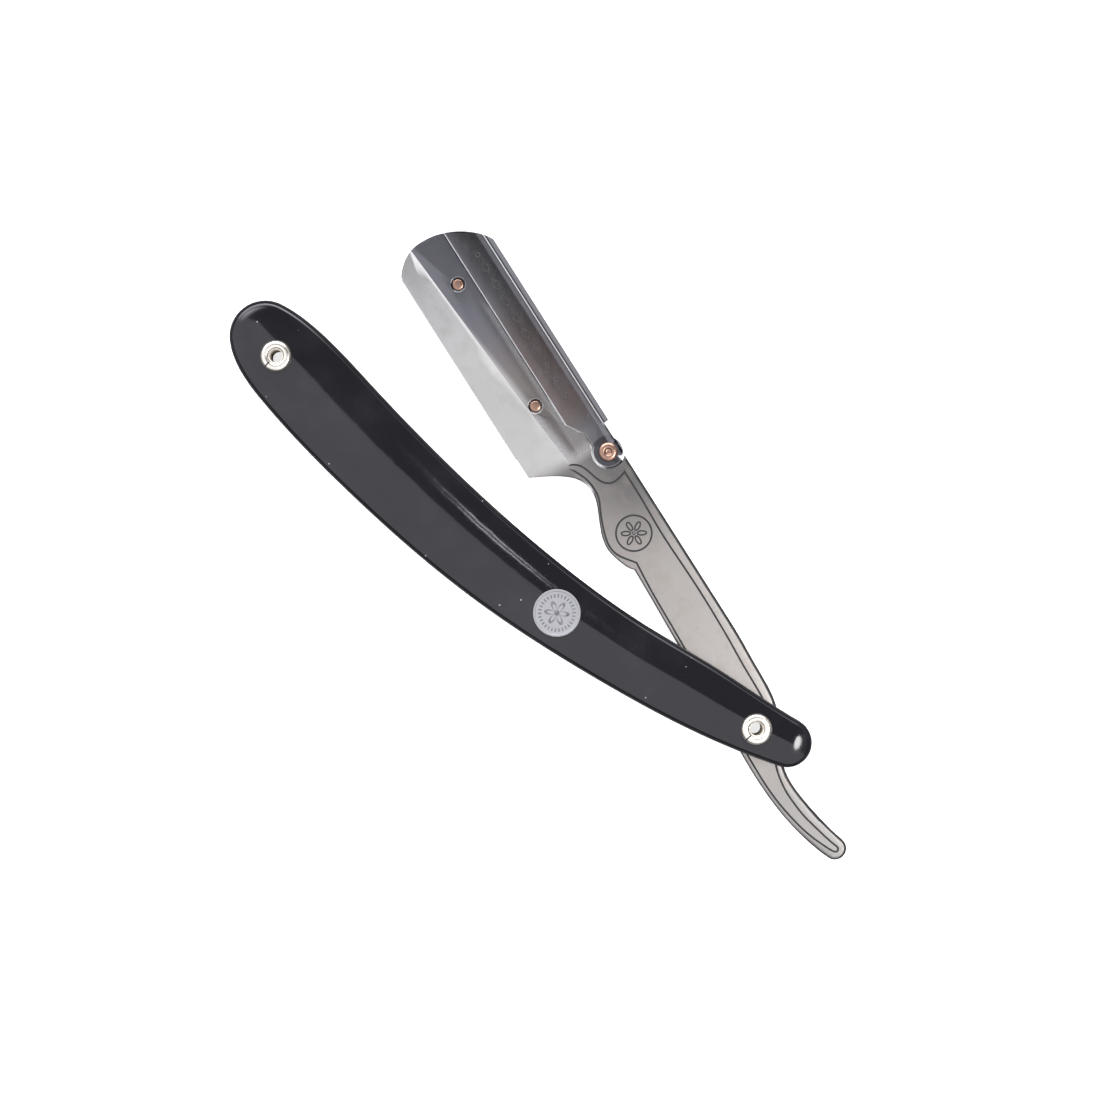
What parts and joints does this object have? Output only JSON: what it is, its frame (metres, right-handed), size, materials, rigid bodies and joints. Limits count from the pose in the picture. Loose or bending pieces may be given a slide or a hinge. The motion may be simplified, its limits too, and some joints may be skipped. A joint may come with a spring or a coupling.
{
  "type": "straight razor",
  "caption": "Folding barber's razor with replaceable half blade: steel arm with swing cover, between two curved glossy black scales joined by hollow eyelets.",
  "frame": {"origin": "middle of the pivot eyelet's bore, half way through the razor's thickness", "axes": "+X from the end eyelet to the pivot along the handle, +Y the side the arm opens to, +Z out of the face with the badge, along the pivot"},
  "size_m": [0.1631, 0.0598, 0.0114],
  "materials": {
    "scale_black": "glossy",
    "badge_metal": "satin",
    "nickel": "bright nickel",
    "spacer_metal": "plain",
    "washer_brass": "plain",
    "brushed_steel": "satin brushed",
    "polished_steel": "mirror polished",
    "copper": "copper, polished",
    "blade_steel": "honed"
  },
  "bodies": {
    "handle": {"front_scale": "scale_black", "back_scale": "scale_black", "badge": "badge_metal", "pivot_eyelet": "nickel", "pivot_eyelet_ring": "nickel", "end_eyelet": "nickel", "end_eyelet_ring": "nickel", "end_spacer": "spacer_metal", "pivot_washer_front": "washer_brass", "pivot_washer_back": "washer_brass"},
    "arm": {"blade_arm": "brushed_steel", "cover_rivet": "copper", "locating_pin_toe": "copper", "locating_pin_heel": "copper", "half_blade": "blade_steel"},
    "cover": {"swing_cover": "polished_steel"}
  },
  "joints": [
    {"name": "arm_pivot", "type": "hinge", "parent": "handle", "child": "arm", "pos_m": [0, 0, 0], "axis": [0, 0, -1], "range_deg": [-17.5, 252.5]},
    {"name": "cover_swing", "type": "hinge", "parent": "arm", "child": "cover", "pos_m": [-0.05758, 0.02577, 0], "axis": [0, 0, -1], "range_deg": [0, 75]}
  ]
}
